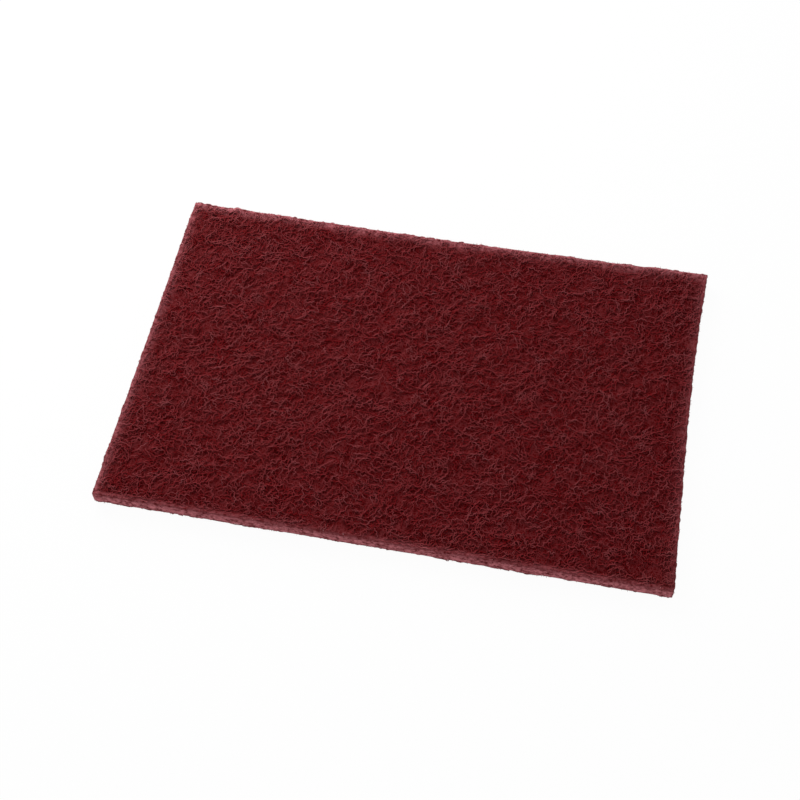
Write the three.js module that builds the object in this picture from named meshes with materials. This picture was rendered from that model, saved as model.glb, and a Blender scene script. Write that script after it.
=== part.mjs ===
// Nylon scouring pad: one rectangle cut from a thick, springy mat of crimped nylon fibres.
// The pad is a single piece. It lies flat on Z = 0, its length along X and its width along Y,
// with the origin under its middle. Both faces carry the matted web: crimped strands lie level
// with the face, and the mat sinks into hollows between them. The four sides are knife cuts,
// slightly hollow in plan, with soft arrises and the web's layers showing on them.
// All sizes are in millimetres.

import * as THREE from 'three';
import { mergeVertices } from 'three/addons/utils/BufferGeometryUtils.js';

// The pad
const LENGTH = 228.6;
const WIDTH = 152.4;
const THICKNESS = 7.8;
const ARRIS_RADIUS = 0.4;

// How far each cut side bows inwards, and how much the right one's hollow leans to the rear
const BOW_RIGHT = 1.5;
const BOW_LEFT = 0.1;
const BOW_REAR = 1.1;
const BOW_FRONT = 0.1;
const RIGHT_BOW_LEAN = 0.45;

// The mat's loft rises and falls gently over the top face
const LOFT_RISE = 0.25;
const LOFT_WAVE = 42;

// Strands of the web, as ridges on both faces
const STRAND_WIDTH = 1.8;
const STRAND_SHOULDER = 2.4;
const STRAND_LENGTH = 38;
const STRAND_SPACING = 8.5;
const STRAND_STEP = 1.5;
const CRIMP_WAVE = 17;
const CRIMP_SWING = 0.85;
const HOLLOW_DEPTH = 0.8;

// The cut sides: layers of the web stand a little in and out
const CUT_ROUGHNESS = 0.2;
const LAYER_RUN = 6;
const LAYER_HEIGHT = 1.8;

// Fineness of the faceted surface: cells along the pad, across it and up its cut sides
const LENGTH_CELLS = 58;
const WIDTH_CELLS = 39;
const SIDE_ROWS = 3;
const SNAP_SHARE = 0.4;

// Seeds of the fixed random layout
const TOP_SEED = 11;
const BOTTOM_SEED = 23;
const CUT_SEED = 5;
const LOFT_SEED = 71;

const NYLON = new THREE.MeshStandardMaterial({
  name: 'maroon_nylon',
  color: 0x57181b,
  roughness: 0.9,
  metalness: 0,
});

// A repeatable stream of random numbers from 0 to 1.
function randomStream(seed) {
  let state = seed;
  return () => {
    state = (state + 0x6d2b79f5) | 0;
    let mixed = Math.imul(state ^ (state >>> 15), 1 | state);
    mixed = (mixed + Math.imul(mixed ^ (mixed >>> 7), 61 | mixed)) ^ mixed;
    return ((mixed ^ (mixed >>> 14)) >>> 0) / 2 ** 32;
  };
}

// Smooth noise from -1 to 1 that changes over one unit of each coordinate.
function smoothNoise(x, y, seed) {
  const cornerValue = (i, j) => randomStream(seed + i * 7919 + j * 104729)() * 2 - 1;
  const i = Math.floor(x);
  const j = Math.floor(y);
  const across = THREE.MathUtils.smoothstep(x - i, 0, 1);
  const along = THREE.MathUtils.smoothstep(y - j, 0, 1);
  const near = THREE.MathUtils.lerp(cornerValue(i, j), cornerValue(i + 1, j), across);
  const far = THREE.MathUtils.lerp(cornerValue(i, j + 1), cornerValue(i + 1, j + 1), across);
  return THREE.MathUtils.lerp(near, far, along);
}

// Where the facets' edges cross one dimension of the pad: a line at each arris, then even cells.
function gridLines(size, cells) {
  const inner = size - 2 * ARRIS_RADIUS;
  const lines = Array.from({ length: cells + 1 }, (_, i) => ARRIS_RADIUS + (inner * i) / cells);
  return [0, ...lines, size];
}

// One strand's centreline on a face: a wandering line with the crimp of spun nylon.
function strandLine(random) {
  const start = new THREE.Vector2((random() - 0.5) * LENGTH, (random() - 0.5) * WIDTH);
  const heading = random() * Math.PI * 2;
  const phase = random() * Math.PI * 2;
  const points = [start];
  for (let run = STRAND_STEP; run <= STRAND_LENGTH; run += STRAND_STEP) {
    const turn = CRIMP_SWING * Math.sin(phase + (run / CRIMP_WAVE) * Math.PI * 2);
    const step = new THREE.Vector2(STRAND_STEP, 0).rotateAround(new THREE.Vector2(), heading + turn);
    points.push(points.at(-1).clone().add(step));
  }
  return points;
}

// All strands of one face, laid at random until they lie one spacing apart on average.
function layStrands(seed) {
  const random = randomStream(seed);
  const count = Math.round((LENGTH * WIDTH) / (STRAND_LENGTH * STRAND_SPACING));
  return Array.from({ length: count }, () => strandLine(random));
}

// The centreline point nearest to a place on the face.
function nearestOnStrands(place, strands) {
  let nearest = strands[0][0];
  for (const line of strands) {
    for (const point of line) {
      if (point.distanceToSquared(place) < nearest.distanceToSquared(place)) nearest = point;
    }
  }
  return nearest;
}

// How far the face sinks at a distance from the nearest strand's centreline.
function hollowDepth(distance) {
  const flank = STRAND_WIDTH / 2 + STRAND_SHOULDER;
  return HOLLOW_DEPTH * THREE.MathUtils.smoothstep(distance, STRAND_WIDTH / 2, flank);
}

// Moves a face vertex onto a strand that passes close by, so that ridges run along the strands.
// It stays on the flat of the face, inside the arrises.
function snapToStrand(place, nearest, core) {
  const cell = Math.min(LENGTH / LENGTH_CELLS, WIDTH / WIDTH_CELLS);
  if (nearest.distanceTo(place) > SNAP_SHARE * cell) return place;
  const flat = new THREE.Vector2(core.x, core.y);
  return nearest.clone().clamp(flat.clone().negate(), flat);
}

// How far the side stands back at a place on the cut, measured round the pad and up it.
function cutDepth(point) {
  const round = (point.x + point.y) / LAYER_RUN;
  return (CUT_ROUGHNESS / 2) * (1 + smoothNoise(round, point.z / LAYER_HEIGHT, CUT_SEED));
}

// Bows the four sides inwards: full near each side's middle, none at the corners.
function bowSides(point) {
  const u = point.x / (LENGTH / 2);
  const v = point.y / (WIDTH / 2);
  const rightShare = (1 + u) / 2;
  const rearShare = (1 + v) / 2;
  const rightBow = BOW_RIGHT * (1 + RIGHT_BOW_LEAN * v);
  const alongX = BOW_LEFT * (1 - rightShare) - rightBow * rightShare;
  const alongY = BOW_FRONT * (1 - rearShare) - BOW_REAR * rearShare;
  point.x += alongX * (1 - v * v);
  point.y += alongY * (1 - u * u);
}

// Carries one vertex of the plain block to its place on the matted pad.
function shapeVertex(block, topStrands, bottomStrands) {
  const half = new THREE.Vector3(LENGTH, WIDTH, THICKNESS).multiplyScalar(0.5);
  const core = half.clone().subScalar(ARRIS_RADIUS);
  const inside = block.clone().clamp(core.clone().negate(), core);
  const normal = block.clone().sub(inside).normalize();
  const point = inside.addScaledVector(normal, ARRIS_RADIUS);

  const faceShare = normal.z * normal.z;
  const strands = point.z > 0 ? topStrands : bottomStrands;
  const place = new THREE.Vector2(point.x, point.y);
  const nearest = nearestOnStrands(place, strands);
  const snapped = faceShare === 1 ? snapToStrand(place, nearest, core) : place;
  point.x = snapped.x;
  point.y = snapped.y;

  const sunkShare = hollowDepth(snapped.distanceTo(nearest)) / half.z;
  point.addScaledVector(normal, -cutDepth(point) * (1 - faceShare));
  point.z *= 1 - sunkShare;

  const height = (point.z + half.z) / THICKNESS;
  const loft = LOFT_RISE * smoothNoise(point.x / LOFT_WAVE, point.y / LOFT_WAVE, LOFT_SEED);
  point.z = height * (THICKNESS + loft);
  bowSides(point);
  return point;
}

// The pad's closed surface: a block of unit cells whose vertices are carried one by one.
function padGeometry() {
  const xLines = gridLines(LENGTH, LENGTH_CELLS);
  const yLines = gridLines(WIDTH, WIDTH_CELLS);
  const zLines = gridLines(THICKNESS, SIDE_ROWS);
  const cells = [xLines.length - 1, yLines.length - 1, zLines.length - 1];
  const block = new THREE.BoxGeometry(...cells, ...cells);
  block.deleteAttribute('normal');
  block.deleteAttribute('uv');
  const geometry = mergeVertices(block);

  const topStrands = layStrands(TOP_SEED);
  const bottomStrands = layStrands(BOTTOM_SEED);
  const position = geometry.getAttribute('position');
  for (let n = 0; n < position.count; n += 1) {
    const corner = new THREE.Vector3(
      xLines[Math.round(position.getX(n) + cells[0] / 2)] - LENGTH / 2,
      yLines[Math.round(position.getY(n) + cells[1] / 2)] - WIDTH / 2,
      zLines[Math.round(position.getZ(n) + cells[2] / 2)] - THICKNESS / 2,
    );
    const shaped = shapeVertex(corner, topStrands, bottomStrands);
    position.setXYZ(n, shaped.x, shaped.y, shaped.z);
  }
  geometry.computeVertexNormals();
  return geometry;
}

const pad = new THREE.Mesh(padGeometry(), NYLON);
pad.name = 'scouring_pad';

const model = new THREE.Group();
model.name = 'nylon_scouring_pad';
model.add(pad);

export default model;
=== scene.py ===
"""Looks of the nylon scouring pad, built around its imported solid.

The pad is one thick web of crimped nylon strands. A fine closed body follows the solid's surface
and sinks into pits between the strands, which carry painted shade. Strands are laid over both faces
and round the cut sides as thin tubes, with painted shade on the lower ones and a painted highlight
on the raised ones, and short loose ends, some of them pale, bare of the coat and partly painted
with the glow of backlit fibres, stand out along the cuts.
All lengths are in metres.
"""

import math

import bpy
import numpy as np
from mathutils import Matrix, Vector, noise
from mathutils.bvhtree import BVHTree


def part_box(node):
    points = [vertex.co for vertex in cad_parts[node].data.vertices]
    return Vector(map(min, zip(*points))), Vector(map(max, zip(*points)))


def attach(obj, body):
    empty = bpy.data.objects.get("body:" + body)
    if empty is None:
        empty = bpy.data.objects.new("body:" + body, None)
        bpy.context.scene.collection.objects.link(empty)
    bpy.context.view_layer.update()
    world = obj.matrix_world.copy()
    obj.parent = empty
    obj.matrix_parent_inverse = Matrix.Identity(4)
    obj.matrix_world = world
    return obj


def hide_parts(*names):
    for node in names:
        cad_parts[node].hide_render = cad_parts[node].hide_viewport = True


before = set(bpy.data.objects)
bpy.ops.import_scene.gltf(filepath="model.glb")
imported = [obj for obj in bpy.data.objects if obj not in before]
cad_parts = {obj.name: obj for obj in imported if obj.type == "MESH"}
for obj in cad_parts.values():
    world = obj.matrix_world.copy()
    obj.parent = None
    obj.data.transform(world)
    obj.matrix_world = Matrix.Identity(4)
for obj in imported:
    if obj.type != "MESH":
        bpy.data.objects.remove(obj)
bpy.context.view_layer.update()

NODE = "scouring_pad"
MM = 0.001
X, Y, Z = 0, 1, 2
PAD_LOW, PAD_HIGH = (np.array(corner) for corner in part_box(NODE))
PAD_SIZE = PAD_HIGH - PAD_LOW

# The body: how far its surface lies under the solid's on the faces and on the cuts, how sharply
# the one gives way to the other at the arrises, and its pits
CORE_INSET = 2.4 * MM
BODY_CELL = 1.1 * MM
FACE_DROP = 0.70 * MM
CUT_DROP = 0.05 * MM
FACE_SHARPNESS = 4
PIT_SPACING = 2.4 * MM
PIT_DEPTH = 0.60 * MM
PIT_NARROWING = 1.6
PIT_MEAN = 0.75
MOTTLE_SPACING = 7 * MM
BODY_MAP_GAP = 1.5 * MM

# The strands on the faces: three-sided tubes, split into pieces of under 200,000 triangles.
# Their rings are set out from a reference direction that no strand is likely to run along.
# The curl is a steady turn in radians a metre, and the swing is the crimp's turn to each side.
TUBE_SIDES = 3
TUBE_REFERENCE = (0.31, 0.17, 0.93)
TUBE_END = 0.5
TUBE_MAP_MARGIN = 0.15
TUBE_MAP_STRETCH = 6
TOP_PIECES = 3
FACE_STRANDS = 3500
STRAND_POINTS = 10
STRAND_LENGTH = (4.5 * MM, 10 * MM)
STRAND_RADIUS = (0.16 * MM, 0.26 * MM)
CRIMP_WAVE = (1.9 * MM, 3.8 * MM)
CRIMP_SWING = (0.6, 1.4)
CURL = (-220.0, 220.0)
FACE_LEVEL = (-0.50 * MM, 0.15 * MM)
STRAND_ARCH = 0.25 * MM
STRAND_DIP = 0.35 * MM
SHORTEST_STRAND = 2.0 * MM
EDGE_KEEP = 0.15 * MM
# Share of each strand's tone taken from its height: painted shade on the lower strands, a painted
# highlight on the raised ones
HEIGHT_SHADE_IN_TONE = 0.65

# The strands of the cut sides, which lie level, and the loose ends that stand out of the cuts,
# with the share of them that is pale at the left, right, front and rear: bare of the coat, and
# partly painted glow of fibres lit from behind, most at the rear and left where the lamp stands
SIDE_STRANDS = 1600
SIDE_POINTS = 6
SIDE_LENGTH = (3 * MM, 8 * MM)
SIDE_SLANT = (-0.6, 0.6)
SIDE_LEVEL = (-0.15 * MM, 0.10 * MM)
LOOSE_ENDS = 2600
LOOSE_POINTS = 3
LOOSE_LENGTH = (0.4 * MM, 0.8 * MM)
LOOSE_RADIUS = (0.07 * MM, 0.12 * MM)
LOOSE_ROOT = 0.4 * MM
LOOSE_SPREAD = 0.45
LOOSE_BEND = 0.25
BARE_AND_GLOW_SHARES = (0.4, 0.1, 0.1, 0.8)
BARE_RADIUS = (0.10 * MM, 0.17 * MM)
FLOOR_GAP = 0.1 * MM

# The pale rim: its share on the left, right, front and rear cuts, its share on the coated faces
# along them and how far in it reaches, and how deep the coat goes from the top and the underside.
# It is partly paler cut fibres and partly painted glow: fibres lit through from behind by the lamp
# at the rear and left, and from below by the floor low on the cuts.
CUT_GLOW_SHARES = (0.55, 0.70, 1.00, 0.65)
RIM_GLOW_SHARES = (0.47, 0.12, 0.12, 0.75)
RIM_REACHES = (2.9 * MM, 3.1 * MM, 1.8 * MM, 3.1 * MM)
COAT_AND_GLOW_ABOVE = 2.2 * MM
COAT_AND_GLOW_BELOW = 0.8 * MM

# The camera, solved from the pad's outline in the photograph
FOCAL_PIXELS = 1468
PICTURE_PIXELS = 800
SENSOR_MM = 36
CAMERA_AZIMUTH = math.radians(12.95)
CAMERA_ELEVATION = math.radians(57.00)
CAMERA_ROLL = math.radians(-2.08)
CAMERA_DISTANCE = 609.5 * MM
CAMERA_OFFSET = (5.60 * MM, 4.79 * MM)
NEAR_CLIP = CAMERA_DISTANCE / 10

# The light and the floor
WORLD_STRENGTH = 0.62
KEY_PLACE = (-0.31, 0.33, 0.28)
KEY_SIZE = 0.40
KEY_POWER = 2.5
FLOOR_SIZE = 8.0
FLOOR_COLOUR = (0.90, 0.90, 0.90, 1)
FLOOR_GLOW = 0.96

# Colours of the nylon, from the pits to the pale rims. The pits and the deep maroon hold painted
# shade, the pale maroon a painted highlight, and the rim pink and bare nylon partly a painted glow
# of fibres lit through from behind
# Painted shade deep in the web's pits
PIT_SHADE_MAROON = (0.089, 0.0003, 0.0011, 1)
WEB_MAROON = (0.149, 0.0185, 0.0215, 1)
# Painted shade on the lower strands, also worn by strands that are dark at random
SHADED_DEEP_MAROON = (0.145, 0.0016, 0.0032, 1)
MAROON = (0.185, 0.0150, 0.0180, 1)
# Painted highlight on the raised strands, also worn by strands that are pale at random
PALE_HIGHLIT_MAROON = (0.215, 0.0500, 0.0550, 1)
# Painted glow of the cuts, partly paler cut fibres
RIM_GLOW_PINK = (0.600, 0.1900, 0.2150, 1)
# Bare cut ends, with painted glow of backlit fibres
BARE_AND_GLOW_NYLON = (0.800, 0.5400, 0.5500, 1)

# The fine net of the web's deeper strands, which the body's material draws
NET_SPACINGS = (1.1 * MM, 1.8 * MM)
NET_WANDER = 1.3 * MM
NET_SWING = 0.9 * MM
NET_LINE = 0.13
NET_CREST = 0.02
NET_RELIEF = 0.25 * MM

# The coat's grit, the patches of the pale rim and of the bare ends, both partly painted glow, and
# the shaders' plain values
NOISE_ROUGHNESS = 0.6
NOISE_MIDDLE = (0.5, 0.5, 0.5)
WANDER_DETAIL = 1.0
COARSE_DETAIL = 2
FINE_DETAIL = 3
GRIT_SPACING = 0.25 * MM
GRIT_RELIEF = 0.03 * MM
GRIT_BUMP = 0.6
RIM_PATCHES = 1.5 * MM
BARE_GLOW_PATCHES = 0.5 * MM
BARE_ROUGHNESS = 0.6
SPECULAR_LEVEL = 0.03

# Ranges that are stretched to run from 0 to 1: of noise, and of the tone stored on the points,
# which carries painted shade and highlight
GRIT_RANGE = (-1.2, 1.6)
MOTTLE_RANGE = (0.25, 0.65)
RIM_RANGE = (0.30, 0.60)
BARE_GLOW_RANGE = (0.2, 0.5)
FULL_TONES = (0.0, 0.6)
PALE_TONES = (0.3, 1.0)
WEB_TONES = (-0.3, 1.2)
BARE_GLOW_TONES = (0.0, 0.8)

# Fineness of the outline that is read from the solid, and of the strands' first drawing
OUTLINE_STEPS = 96
DRAWN_STEPS = 48

SEED = 1964
rng = np.random.default_rng(SEED)


# Small tools

def between(limits, count):
    """Random numbers, evenly spread between two limits."""
    return rng.uniform(limits[0], limits[1], count)


def unit(vectors):
    """The vectors, each at length 1."""
    return vectors / np.linalg.norm(vectors, axis=-1, keepdims=True)


# Reading the solid

def solid_tree():
    """The solid's surface, ready for rays."""
    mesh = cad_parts[NODE].data
    corners = [v.co for v in mesh.vertices]
    return BVHTree.FromPolygons(corners, [tuple(p.vertices) for p in mesh.polygons])


TREE = solid_tree()


def leave(start, way):
    """Where a ray from inside the pad leaves the solid, or the nearest skin if it slips past."""
    place = TREE.ray_cast(Vector(start), Vector(way))[0]
    return place or TREE.find_nearest(Vector(start))[0]


def cast(starts, ways):
    """Where many rays leave the solid. Both arrays are points x 3."""
    return np.array([leave(start, way) for start, way in zip(starts, ways)], float)


def skin_at(block):
    """The solid's skin at points on the block round it, and the ways out through it there.

    The rays start on an inner core, so that they fan out round the arrises.
    """
    flat = block.reshape(-1, 3)
    inside = flat.clip(PAD_LOW + CORE_INSET, PAD_HIGH - CORE_INSET)
    out = unit(flat - inside)
    return cast(inside, out).reshape(block.shape), out.reshape(block.shape)


def read_outline(axis):
    """The pad's low and high edges across one axis, at even places along the other."""
    along = Y if axis == X else X
    places = np.linspace(PAD_LOW[along], PAD_HIGH[along], OUTLINE_STEPS)
    block = np.tile((PAD_LOW + PAD_HIGH) / 2, (2, OUTLINE_STEPS, 1))
    block[..., along] = places.clip(PAD_LOW[along] + CORE_INSET, PAD_HIGH[along] - CORE_INSET)
    block[0, :, axis] = PAD_LOW[axis]
    block[1, :, axis] = PAD_HIGH[axis]
    low, high = skin_at(block)[0][..., axis]
    return places, low, high


Y_PLACES, LEFT_EDGE, RIGHT_EDGE = read_outline(X)
X_PLACES, FRONT_EDGE, REAR_EDGE = read_outline(Y)


def edge_gaps(points):
    """How far points lie inside the left, right, front and rear cuts. Negative outside them."""
    x, y = points[..., X], points[..., Y]
    return np.stack([
        x - np.interp(y, Y_PLACES, LEFT_EDGE),
        np.interp(y, Y_PLACES, RIGHT_EDGE) - x,
        y - np.interp(x, X_PLACES, FRONT_EDGE),
        np.interp(x, X_PLACES, REAR_EDGE) - y,
    ], -1)


def rim_pale_and_glow_share(points):
    """How pale the web is, from 0 to 1: most at the cuts, and there most under the coat. It is
    partly paler cut fibres and partly painted glow of fibres lit from behind and from the floor.
    """
    fade = np.exp(-(edge_gaps(points).clip(0) / RIM_REACHES) ** 2)
    above = (PAD_HIGH[Z] - points[..., Z]) / COAT_AND_GLOW_ABOVE
    below = (points[..., Z] - PAD_LOW[Z]) / COAT_AND_GLOW_BELOW
    coat_and_glow = np.exp(-np.minimum(above, below).clip(0) ** 2)
    return coat_and_glow * (fade * RIM_GLOW_SHARES).max(-1) + (1 - coat_and_glow) * (fade * CUT_GLOW_SHARES).max(-1)


# Making pieces

def new_piece(name, points, faces, material):
    """A smooth mesh object from its points and a list of arrays of faces, riding on the pad."""
    mesh = bpy.data.meshes.new(name)
    corners = np.concatenate([sheet.ravel() for sheet in faces])
    sizes = np.concatenate([np.full(len(sheet), sheet.shape[1]) for sheet in faces])
    starts = np.cumsum(sizes) - sizes
    mesh.vertices.add(len(points))
    mesh.vertices.foreach_set("co", points.astype(np.float32).ravel())
    mesh.loops.add(len(corners))
    mesh.loops.foreach_set("vertex_index", corners.astype(np.int32))
    mesh.polygons.add(len(sizes))
    mesh.polygons.foreach_set("loop_start", starts.astype(np.int32))
    mesh.polygons.foreach_set("use_smooth", np.ones(len(sizes), bool))
    mesh.update(calc_edges=True)
    mesh.materials.append(material)
    piece = bpy.data.objects.new(name, mesh)
    bpy.context.scene.collection.objects.link(piece)
    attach(piece, "root")
    return piece


def set_attribute(piece, name, values):
    """Stores one number for each point of a piece, for its material to read."""
    attribute = piece.data.attributes.new(name, "FLOAT", "POINT")
    attribute.data.foreach_set("value", np.asarray(values, np.float32).ravel())


def set_map(piece, places):
    """Gives a piece a flat map, one place for each corner of its faces."""
    layer = piece.data.uv_layers.new(name="OFBake")
    layer.uv.foreach_set("vector", np.asarray(places, np.float32).ravel())


# The body

def block_sheet(cells, axis, side):
    """The quads of one side of a block of unit cells, as corners: quads x 4 x 3."""
    u, v = (axis + 1) % 3, (axis + 2) % 3
    a, b = np.meshgrid(np.arange(cells[u]), np.arange(cells[v]), indexing="ij")
    corners = np.empty(a.shape + (4, 3), int)
    corners[..., axis] = side * cells[axis]
    for n, (step_a, step_b) in enumerate(((0, 0), (1, 0), (1, 1), (0, 1))):
        corners[..., n, u] = a + step_a
        corners[..., n, v] = b + step_b
    if side == 0:
        corners = corners[..., ::-1, :]
    return corners.reshape(-1, 4, 3)


def body_map(sheets, cells):
    """The six sides laid flat side by side: the two faces, and the four cut sides as strips."""
    gap = BODY_MAP_GAP
    length, width, height = PAD_SIZE
    strips_x = (length + gap, length + height + 2 * gap)
    strips_y = (2 * width + 2 * gap, 2 * width + height + 3 * gap)
    layout = (
        (Z, Y, strips_x[0], 0), (Z, Y, strips_x[1], 0),
        (X, Z, 0, strips_y[0]), (X, Z, 0, strips_y[1]),
        (X, Y, 0, 0), (X, Y, 0, width + gap),
    )
    whole = strips_y[1] + height + gap
    places = []
    for sheet, (across, up, left, low) in zip(sheets, layout):
        corners = sheet / cells * PAD_SIZE
        places.append(np.stack([left + corners[..., across], low + corners[..., up]], -1))
    return (np.concatenate(places) + gap / 2) / whole


def pit_shares(points):
    """How deep the body's pits are at each point, from 0 to 1, deeper where the web is thin."""
    depths = np.empty(len(points))
    for n, point in enumerate(points):
        place = Vector(point)
        nearest = noise.voronoi(place / PIT_SPACING)[0][0]
        mottle = noise.noise(place / MOTTLE_SPACING)
        depths[n] = (1 - min(nearest * PIT_NARROWING, 1)) * (PIT_MEAN + mottle)
    return np.clip(depths, 0, 1)


def make_body(material):
    """The closed body: a fine block carried onto the solid's surface and sunk into its pits."""
    cells = np.maximum(2, np.round(PAD_SIZE / BODY_CELL)).astype(int)
    sheets = [block_sheet(cells, axis, side) for axis in (X, Y, Z) for side in (0, 1)]
    corners = np.concatenate(sheets)
    grid, quads = np.unique(corners.reshape(-1, 3), axis=0, return_inverse=True)
    skin, out = skin_at(PAD_LOW + grid / cells * PAD_SIZE)
    face_share = out[:, Z:] ** FACE_SHARPNESS
    pits = pit_shares(skin)[:, None]
    drop = CUT_DROP + face_share * (FACE_DROP - CUT_DROP + PIT_DEPTH * pits)
    body = new_piece("pad_web", skin - out * drop, [quads.reshape(-1, 4)], material)
    # Painted shade: the body is darker the deeper its pits
    set_attribute(body, "shade_and_tone", 1 - pits)
    set_attribute(body, "rim_pale_and_glow", rim_pale_and_glow_share(skin))
    set_map(body, body_map(sheets, cells))
    return body


# The strands

def crimped_paths(middles, lengths, headings):
    """Flat curves of crimped strands, each about its middle: strands x steps x 2."""
    count = len(middles)
    run = np.linspace(-0.5, 0.5, DRAWN_STEPS) * lengths[:, None]
    wave = between(CRIMP_WAVE, count)[:, None]
    swing = between(CRIMP_SWING, count)[:, None]
    phase = between((0, 2 * math.pi), count)[:, None]
    curl = between(CURL, count)[:, None]
    turn = headings[:, None] + curl * run + swing * np.sin(2 * math.pi * run / wave + phase)
    stride = lengths[:, None, None] / (DRAWN_STEPS - 1)
    path = np.cumsum(np.stack([np.cos(turn), np.sin(turn)], -1) * stride, 1)
    return path - path[:, DRAWN_STEPS // 2][:, None] + middles[:, None]


def keep_inside(paths, inside, steps):
    """Cuts each path to the stretch about its middle that is inside, and steps it evenly."""
    kept = []
    middle = DRAWN_STEPS // 2
    for path, good in zip(paths, inside):
        if not good[middle]:
            continue
        bad = np.flatnonzero(~good)
        first = bad[bad < middle].max(initial=-1) + 1
        last = bad[bad > middle].min(initial=DRAWN_STEPS) - 1
        stretch = np.linspace(first, last, steps)
        points = np.stack([np.interp(stretch, np.arange(DRAWN_STEPS), row) for row in path.T], -1)
        if np.linalg.norm(np.diff(points, axis=0), axis=1).sum() > SHORTEST_STRAND:
            kept.append(points)
    return np.array(kept)


def lay_on_skin(flat, lanes, axis, side, levels):
    """Carries flat strands onto one side of the pad, each at its own level and arched.

    The flat paths run along the two axes that lanes names, and the side faces along the third.
    They dip into the pits. Also returns how high each of their points lies, from 0 to 1, lessened
    in the pits: the painted shade of the lower strands.
    """
    block = np.empty(flat.shape[:2] + (3,))
    block[..., lanes] = flat
    block[..., axis] = PAD_HIGH[axis] if side > 0 else PAD_LOW[axis]
    skin, out = skin_at(block)
    height = rng.uniform(0, 1, len(flat))
    level = levels[0] + (levels[1] - levels[0]) * height[:, None]
    arch = STRAND_ARCH * (np.sin(np.linspace(0, math.pi, flat.shape[1])) - 1)
    pits = pit_shares(skin.reshape(-1, 3)).reshape(flat.shape[:2])
    paths = skin + out * (level + arch - STRAND_DIP * pits)[..., None]
    return paths, height[:, None] * (1 - pits)


def face_strands(count, side):
    """Strands over the top face (side 1) or the underside (side -1)."""
    middles = rng.uniform(PAD_LOW[:2], PAD_HIGH[:2], (count, 2))
    paths = crimped_paths(middles, between(STRAND_LENGTH, count), between((0, 2 * math.pi), count))
    kept = keep_inside(paths, edge_gaps(paths).min(-1) > EDGE_KEEP, STRAND_POINTS)
    return lay_on_skin(kept, [X, Y], Z, side, FACE_LEVEL)


def side_strands(count, axis, side):
    """Level strands on one cut side, which faces along axis X or Y."""
    lanes = [Y if axis == X else X, Z]
    low, high = PAD_LOW[lanes], PAD_HIGH[lanes]
    middles = rng.uniform(low, high, (count, 2))
    paths = crimped_paths(middles, between(SIDE_LENGTH, count), between(SIDE_SLANT, count))
    kept = keep_inside(paths, ((paths > low) & (paths < high)).all(-1), SIDE_POINTS)
    return lay_on_skin(kept, lanes, axis, side, SIDE_LEVEL)


def tube_points(paths, radii):
    """The rings round each path's points, thinner at the two ends: strands x steps x sides x 3."""
    along = unit(np.gradient(paths, axis=1))
    across = unit(np.cross(along, TUBE_REFERENCE))
    over = np.cross(along, across)
    taper = np.ones(paths.shape[1])
    taper[[0, -1]] = TUBE_END
    width = (radii[:, None] * taper)[..., None]
    turns = math.pi / 2 + np.arange(TUBE_SIDES) * 2 * math.pi / TUBE_SIDES
    rings = [paths + width * (math.cos(t) * across + math.sin(t) * over) for t in turns]
    return np.stack(rings, 2)


def tube_faces(count, steps):
    """The side quads of the tubes, and the triangles that close their ends."""
    ring = np.arange(count * steps * TUBE_SIDES).reshape(count, steps, TUBE_SIDES)
    turned = np.roll(ring, -1, 2)
    sides = np.stack([ring[:, :-1], turned[:, :-1], turned[:, 1:], ring[:, 1:]], -1)
    ends = np.concatenate([ring[:, 0, ::-1], ring[:, -1]])
    return [sides.reshape(-1, 4), ends]


def tube_map(count, steps):
    """A map where each strand has a small rectangle of its own, its length from left to right."""
    columns = math.ceil(math.sqrt(count / TUBE_MAP_STRETCH))
    rows = math.ceil(count / columns)
    margin = TUBE_MAP_MARGIN
    run = np.linspace(0, 1, steps)
    girth = np.linspace(0, 1, TUBE_SIDES + 1)
    grid = np.stack(np.meshgrid(run, girth, indexing="ij"), -1)
    sides = np.stack([grid[:-1, :-1], grid[:-1, 1:], grid[1:, 1:], grid[1:, :-1]], 2)
    start = np.array([(0, 1), (-margin, 0.5), (0, 0)])
    end = np.array([(1, 0), (1 + margin, 0.5), (1, 1)])
    cells = np.stack([np.arange(count) % columns, np.arange(count) // columns], -1)[:, None]

    def placed(local):
        inner = margin + (1 - 2 * margin) * local.reshape(-1, 2)
        return ((cells + inner) / (columns, rows)).reshape(-1, 2)

    return np.concatenate([placed(sides), placed(start), placed(end)])


def make_strands(name, paths, radii, shades_and_tones, material):
    """One piece of many strands, with the tone of each point, which carries painted shade and
    highlight, and its share of the pale rim with its painted glow.
    """
    count, steps = paths.shape[:2]
    points = tube_points(paths, radii)
    points[..., Z] = np.maximum(points[..., Z], PAD_LOW[Z])
    piece = new_piece(name, points.reshape(-1, 3), tube_faces(count, steps), material)
    set_attribute(piece, "shade_and_tone", np.repeat(shades_and_tones, TUBE_SIDES))
    set_attribute(piece, "rim_pale_and_glow", np.repeat(rim_pale_and_glow_share(paths), TUBE_SIDES))
    set_map(piece, tube_map(count, steps))


def make_face_strands(name, side, material):
    """One piece of strands over a face."""
    paths, height = face_strands(FACE_STRANDS, side)
    chance = rng.uniform(0, 1, (len(paths), 1))
    # Painted shade and highlight by height, mixed with a random tone
    shades_and_tones = HEIGHT_SHADE_IN_TONE * height + (1 - HEIGHT_SHADE_IN_TONE) * chance
    make_strands(name, paths, between(STRAND_RADIUS, len(paths)), shades_and_tones, material)


def make_side_strands(material):
    """The strands of all four cut sides, as many on each as its length asks for."""
    shares = PAD_SIZE[[Y, X]] / (2 * PAD_SIZE[:2].sum())
    laid = [
        side_strands(round(SIDE_STRANDS * shares[axis]), axis, side)
        for axis in (X, Y) for side in (-1, 1)
    ]
    paths = np.concatenate([points for points, _ in laid])
    # Painted shade by height on the cut sides
    shades_and_tones = np.concatenate([height for _, height in laid])
    make_strands("cut_strands", paths, between(STRAND_RADIUS, len(paths)), shades_and_tones, material)


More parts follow.
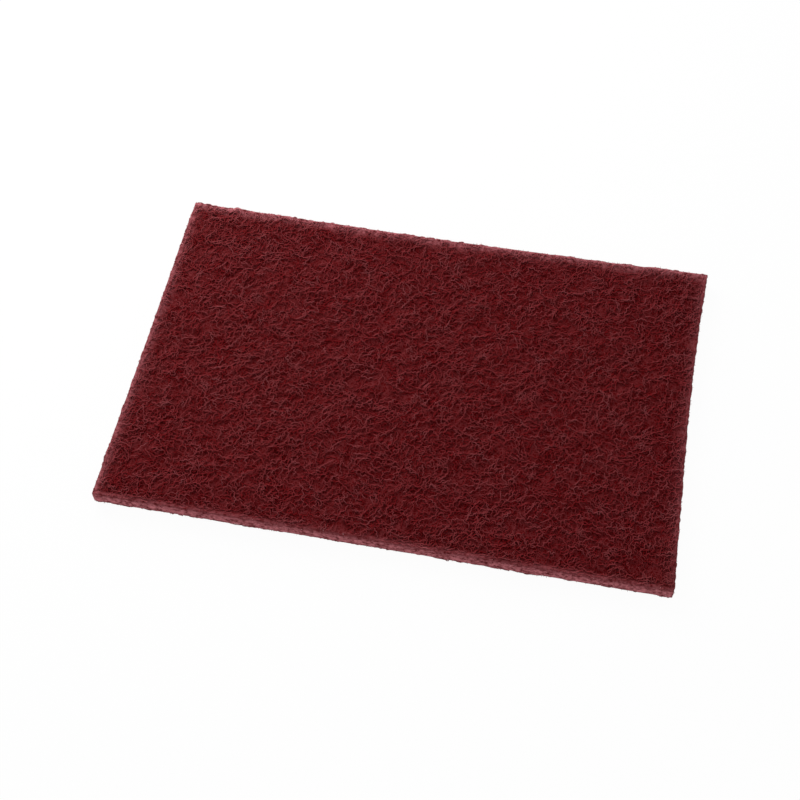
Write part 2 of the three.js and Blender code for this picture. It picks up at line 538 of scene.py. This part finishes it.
def make_loose_ends(coated, glowing_bare):
    """Short ends that stand out of the cuts, rooted in the sides and the arrises."""
    shell = rng.uniform(-1, 1, (LOOSE_ENDS, 3))
    side = rng.uniform(0, PAD_SIZE[:2].sum(), LOOSE_ENDS)
    on_x = side < PAD_SIZE[Y]
    shell[on_x, X] = np.sign(shell[on_x, X])
    shell[~on_x, Y] = np.sign(shell[~on_x, Y])
    skin, out = skin_at(PAD_LOW + (shell + 1) / 2 * PAD_SIZE)
    roots = skin - out * LOOSE_ROOT
    ways = unit(out + rng.normal(0, LOOSE_SPREAD, out.shape))
    bends = rng.normal(0, LOOSE_BEND, out.shape)
    lengths = between(LOOSE_LENGTH, LOOSE_ENDS)[:, None, None]
    t = np.linspace(0, 1, LOOSE_POINTS)[:, None]
    paths = roots[:, None] + lengths * (t * ways[:, None] + t * t * bends[:, None])
    paths[..., Z] = np.maximum(paths[..., Z], PAD_LOW[Z] + FLOOR_GAP)
    shades_and_tones = rng.uniform(0, 1, paths.shape[:2])
    # Pale ends: bare of the coat and partly painted glow, most at the rear and left, which the lamp
    # lights from behind
    nearest = edge_gaps(roots).argmin(-1)
    bare_and_glowing = rng.uniform(0, 1, LOOSE_ENDS) < np.array(BARE_AND_GLOW_SHARES)[nearest]
    for name, picked, radius, material in (
        ("loose_ends", ~bare_and_glowing, LOOSE_RADIUS, coated),
        ("bare_and_glowing_ends", bare_and_glowing, BARE_RADIUS, glowing_bare),
    ):
        radii = between(radius, picked.sum())
        make_strands(name, paths[picked], radii, shades_and_tones[picked], material)


# Materials

def add_node(tree, kind, inputs, **settings):
    """A shader node with its settings, and its inputs set or linked by index or name."""
    node = tree.nodes.new(kind)
    for name, value in settings.items():
        setattr(node, name, value)
    for socket, value in inputs.items():
        if isinstance(value, bpy.types.NodeSocket):
            tree.links.new(value, node.inputs[socket])
        else:
            node.inputs[socket].default_value = value
    return node


def mixed_colour(tree, share, first, second):
    """Two colours mixed. The node's colour sockets are known by number only."""
    inputs = {0: share, 6: first, 7: second}
    return add_node(tree, "ShaderNodeMix", inputs, data_type="RGBA").outputs[2]


def combined(tree, operation, first, second):
    """Two values put together by a math node."""
    inputs = {0: first, 1: second}
    return add_node(tree, "ShaderNodeMath", inputs, operation=operation).outputs[0]


def noise_output(tree, place, spacing, detail):
    """Noise that changes over one spacing, from about 0.3 to 0.7."""
    inputs = {
        "Vector": place, "Scale": 1 / spacing, "Detail": detail, "Roughness": NOISE_ROUGHNESS,
    }
    return add_node(tree, "ShaderNodeTexNoise", inputs).outputs["Fac"]


def stretched(tree, value, limits):
    """A value stretched so that the two limits become 0 and 1."""
    inputs = {"Value": value, "From Min": limits[0], "From Max": limits[1]}
    return add_node(tree, "ShaderNodeMapRange", inputs).outputs["Result"]


def attribute(tree, name):
    """A number stored on the mesh's points."""
    return add_node(tree, "ShaderNodeAttribute", {}, attribute_name=name).outputs["Fac"]


def wandering(tree, place):
    """The place moved to and fro, so that straight patterns turn into curly ones."""
    inputs = {"Vector": place, "Scale": 1 / NET_WANDER, "Detail": WANDER_DETAIL}
    swirl = add_node(tree, "ShaderNodeTexNoise", inputs).outputs["Color"]
    inputs = {0: swirl, 1: NOISE_MIDDLE}
    centred = add_node(tree, "ShaderNodeVectorMath", inputs, operation="SUBTRACT").outputs[0]
    inputs = {0: centred, 1: (NET_SWING, NET_SWING, NET_SWING), 2: place}
    return add_node(tree, "ShaderNodeVectorMath", inputs, operation="MULTIPLY_ADD").outputs[0]


def net(tree, place, spacing):
    """A net of curly lines, 1 on a line and 0 in the cells between them."""
    inputs = {"Vector": place, "Scale": 1 / spacing}
    gap = add_node(tree, "ShaderNodeTexVoronoi", inputs, feature="DISTANCE_TO_EDGE").outputs[0]
    inputs = {"Value": gap, "From Min": NET_LINE, "From Max": NET_CREST}
    return add_node(tree, "ShaderNodeMapRange", inputs, interpolation_type="SMOOTHSTEP").outputs[0]


def finish_nylon(tree, place, colour, relief, depth):
    """Lays the pink of the cuts, partly a painted glow, over a colour, and gives the shader its
    roughness and relief.
    """
    shader = tree.nodes["Principled BSDF"]
    patches = stretched(tree, noise_output(tree, place, RIM_PATCHES, FINE_DETAIL), RIM_RANGE)
    share = combined(tree, "MULTIPLY", attribute(tree, "rim_pale_and_glow"), patches)
    coat_and_glow = mixed_colour(tree, share, colour, RIM_GLOW_PINK)
    tree.links.new(coat_and_glow, shader.inputs["Base Color"])
    grit = noise_output(tree, place, GRIT_SPACING, FINE_DETAIL)
    tree.links.new(stretched(tree, grit, GRIT_RANGE), shader.inputs["Roughness"])
    inputs = {"Height": relief, "Strength": GRIT_BUMP, "Distance": depth}
    bump = add_node(tree, "ShaderNodeBump", inputs)
    tree.links.new(bump.outputs["Normal"], shader.inputs["Normal"])
    shader.inputs["Specular IOR Level"].default_value = SPECULAR_LEVEL


def nylon_tree(name):
    """A new material, its node tree and the place that its patterns are laid by."""
    material = bpy.data.materials.new(name)
    material.use_nodes = True
    tree = material.node_tree
    return material, tree, add_node(tree, "ShaderNodeTexCoord", {}).outputs["Object"]


def strand_nylon():
    """Coated nylon by each strand's tone: painted shade makes deeper strands darker, and a painted
    highlight makes raised ones paler.
    """
    material, tree, place = nylon_tree("strand_nylon")
    shade_and_tone = attribute(tree, "shade_and_tone")
    full = mixed_colour(tree, stretched(tree, shade_and_tone, FULL_TONES), SHADED_DEEP_MAROON, MAROON)
    mottle = noise_output(tree, place, MOTTLE_SPACING, COARSE_DETAIL)
    mottle = stretched(tree, mottle, MOTTLE_RANGE)
    pale = combined(tree, "MULTIPLY", stretched(tree, shade_and_tone, PALE_TONES), mottle)
    raised = mixed_colour(tree, pale, full, PALE_HIGHLIT_MAROON)
    grit = noise_output(tree, place, GRIT_SPACING, FINE_DETAIL)
    finish_nylon(tree, place, raised, grit, GRIT_RELIEF)
    return material


def web_nylon():
    """The deeper web: a net of curly maroon strands over pits with painted shade, darker the deeper
    they are.
    """
    material, tree, place = nylon_tree("web_nylon")
    curly = wandering(tree, place)
    strands = combined(tree, "MAXIMUM", *(net(tree, curly, spacing) for spacing in NET_SPACINGS))
    # Painted shade: the net fades into the dark pit colour the deeper the pits are
    height = stretched(tree, attribute(tree, "shade_and_tone"), WEB_TONES)
    share = combined(tree, "MULTIPLY", strands, height)
    colour = mixed_colour(tree, share, PIT_SHADE_MAROON, WEB_MAROON)
    finish_nylon(tree, place, colour, strands, NET_RELIEF)
    return material


def bare_and_glowing_nylon():
    """Cut ends that the coat never reached, with the painted glow of backlit fibres: pink to nearly
    white.
    """
    material, tree, place = nylon_tree("bare_and_glowing_nylon")
    shader = tree.nodes["Principled BSDF"]
    shader.inputs["Roughness"].default_value = BARE_ROUGHNESS
    shade_and_tone = stretched(tree, attribute(tree, "shade_and_tone"), BARE_GLOW_TONES)
    patches = stretched(tree, noise_output(tree, place, BARE_GLOW_PATCHES, COARSE_DETAIL), BARE_GLOW_RANGE)
    share = combined(tree, "MULTIPLY", shade_and_tone, patches)
    colour = mixed_colour(tree, share, RIM_GLOW_PINK, BARE_AND_GLOW_NYLON)
    tree.links.new(colour, shader.inputs["Base Color"])
    return material


def floor_material():
    """White, and brighter to the camera and in reflections, so that it keeps a faint shadow."""
    material = bpy.data.materials.new("white_floor")
    material.use_nodes = True
    tree = material.node_tree
    tree.nodes.remove(tree.nodes["Principled BSDF"])
    output = tree.nodes["Material Output"]
    diffuse = add_node(tree, "ShaderNodeBsdfDiffuse", {"Color": FLOOR_COLOUR}).outputs[0]
    glow = add_node(tree, "ShaderNodeEmission", {"Strength": 1.0}).outputs[0]
    ray = add_node(tree, "ShaderNodeLightPath", {}).outputs
    seen = combined(tree, "MAXIMUM", ray["Is Camera Ray"], ray["Is Glossy Ray"])
    seen = combined(tree, "MAXIMUM", seen, ray["Is Transmission Ray"])
    share = combined(tree, "MULTIPLY", seen, FLOOR_GLOW)
    mix = add_node(tree, "ShaderNodeMixShader", {0: share, 1: diffuse, 2: glow})
    tree.links.new(mix.outputs[0], output.inputs["Surface"])
    return material


# The stage

def make_floor():
    """A wide white floor at the height that the pad lies on."""
    half = FLOOR_SIZE / 2
    mesh = bpy.data.meshes.new("floor")
    corners = [(-half, -half, 0), (half, -half, 0), (half, half, 0), (-half, half, 0)]
    mesh.from_pydata(corners, [], [(0, 1, 2, 3)])
    mesh.materials.append(floor_material())
    floor = bpy.data.objects.new("floor", mesh)
    floor.location.z = PAD_LOW[Z]
    bpy.context.scene.collection.objects.link(floor)


def make_world():
    """Even white light from all round, and a white background."""
    world = bpy.data.worlds.new("studio")
    world.use_nodes = True
    tree = world.node_tree
    ray = add_node(tree, "ShaderNodeLightPath", {}).outputs["Is Camera Ray"]
    inputs = {"Value": ray, "To Min": WORLD_STRENGTH, "To Max": 1.0}
    strength = add_node(tree, "ShaderNodeMapRange", inputs).outputs["Result"]
    background = tree.nodes["Background"]
    background.inputs["Color"].default_value = (1, 1, 1, 1)
    tree.links.new(strength, background.inputs["Strength"])
    bpy.context.scene.world = world


def make_key_light():
    """A soft lamp behind the pad on the left, turned to its middle."""
    lamp = bpy.data.lights.new("key", "AREA")
    lamp.size = KEY_SIZE
    lamp.energy = KEY_POWER
    key = bpy.data.objects.new("key", lamp)
    key.location = KEY_PLACE
    key.rotation_euler = (-Vector(KEY_PLACE)).to_track_quat("-Z", "Y").to_euler()
    bpy.context.scene.collection.objects.link(key)


def make_camera():
    """The photograph's camera: turned round the pad, raised, rolled and aimed beside its middle."""
    back = Vector((
        math.sin(CAMERA_AZIMUTH) * math.cos(CAMERA_ELEVATION),
        -math.cos(CAMERA_AZIMUTH) * math.cos(CAMERA_ELEVATION),
        math.sin(CAMERA_ELEVATION),
    ))
    level = Vector((0, 0, 1)).cross(back).normalized()
    roll = Matrix.Rotation(CAMERA_ROLL, 3, back)
    right = roll @ level
    up = back.cross(right)
    place = back * CAMERA_DISTANCE - right * CAMERA_OFFSET[0] - up * CAMERA_OFFSET[1]
    data = bpy.data.cameras.new("camera")
    data.sensor_width = SENSOR_MM
    data.lens = FOCAL_PIXELS / PICTURE_PIXELS * SENSOR_MM
    data.clip_start = NEAR_CLIP
    camera = bpy.data.objects.new("camera", data)
    turn = Matrix((right, up, back)).transposed().to_4x4()
    camera.matrix_world = Matrix.Translation(place) @ turn
    bpy.context.scene.collection.objects.link(camera)
    bpy.context.scene.camera = camera


body = make_body(web_nylon())
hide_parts(NODE)
coated = strand_nylon()
for number in range(TOP_PIECES):
    make_face_strands(f"top_strands_{number + 1}", 1, coated)
make_face_strands("underside_strands", -1, coated)
make_side_strands(coated)
make_loose_ends(coated, bare_and_glowing_nylon())

make_floor()
make_world()
make_key_light()
make_camera()
bpy.context.scene.view_settings.view_transform = "Standard"
